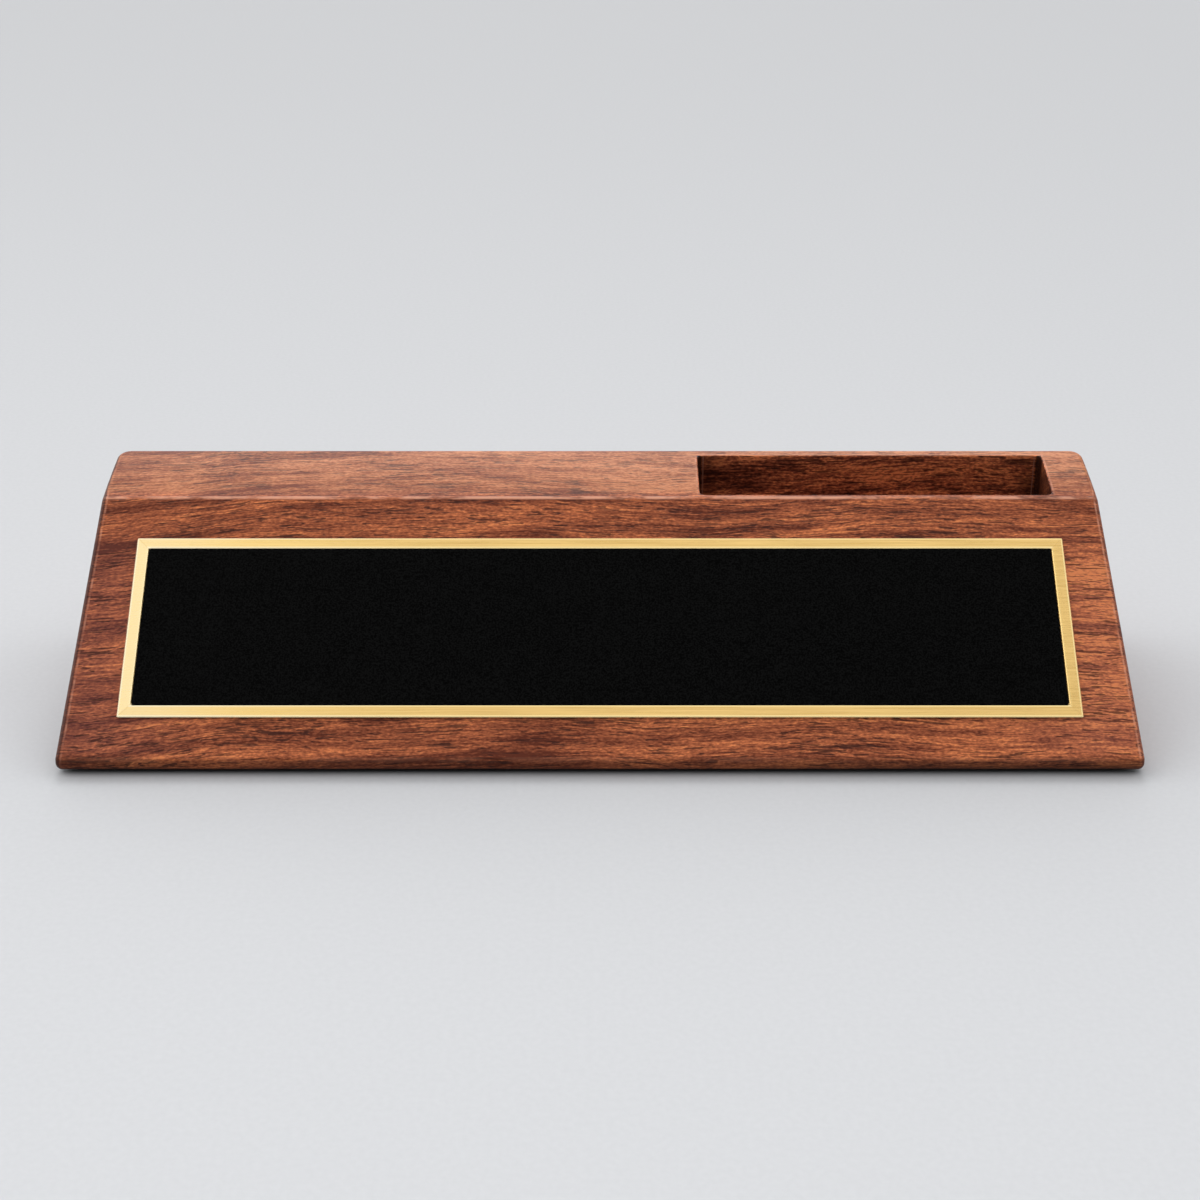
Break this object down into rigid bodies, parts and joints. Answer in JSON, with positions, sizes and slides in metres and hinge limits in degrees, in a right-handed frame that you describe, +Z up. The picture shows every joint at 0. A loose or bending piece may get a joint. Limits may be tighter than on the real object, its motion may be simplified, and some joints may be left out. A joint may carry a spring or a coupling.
{
  "type": "desk name plate",
  "caption": "Walnut wedge desk name plate with a brass-bordered blank black plate on its sloped front and a business card pocket routed into its crowned top.",
  "frame": {"origin": "on the desk surface, under the middle of the block's length and depth", "axes": "+X to the right along the block's length, +Y from the sloped front to the back, +Z up"},
  "size_m": [0.2664, 0.0816, 0.0542],
  "materials": {
    "walnut": "satin lacquer",
    "brushed_brass": "brushed along the length",
    "black_sheet": "matte",
    "adhesive_film": "matte",
    "mounting_tape": "matte foam",
    "foot_rubber": "matte"
  },
  "bodies": {
    "root": {"wood_block": "walnut", "brass_plate": "brushed_brass", "engraving_sheet": "black_sheet", "sheet_adhesive": "adhesive_film", "plate_tape_lower": "mounting_tape", "plate_tape_upper": "mounting_tape", "foot_front_left": "foot_rubber", "foot_front_right": "foot_rubber", "foot_back_left": "foot_rubber", "foot_back_right": "foot_rubber"}
  },
  "joints": []
}
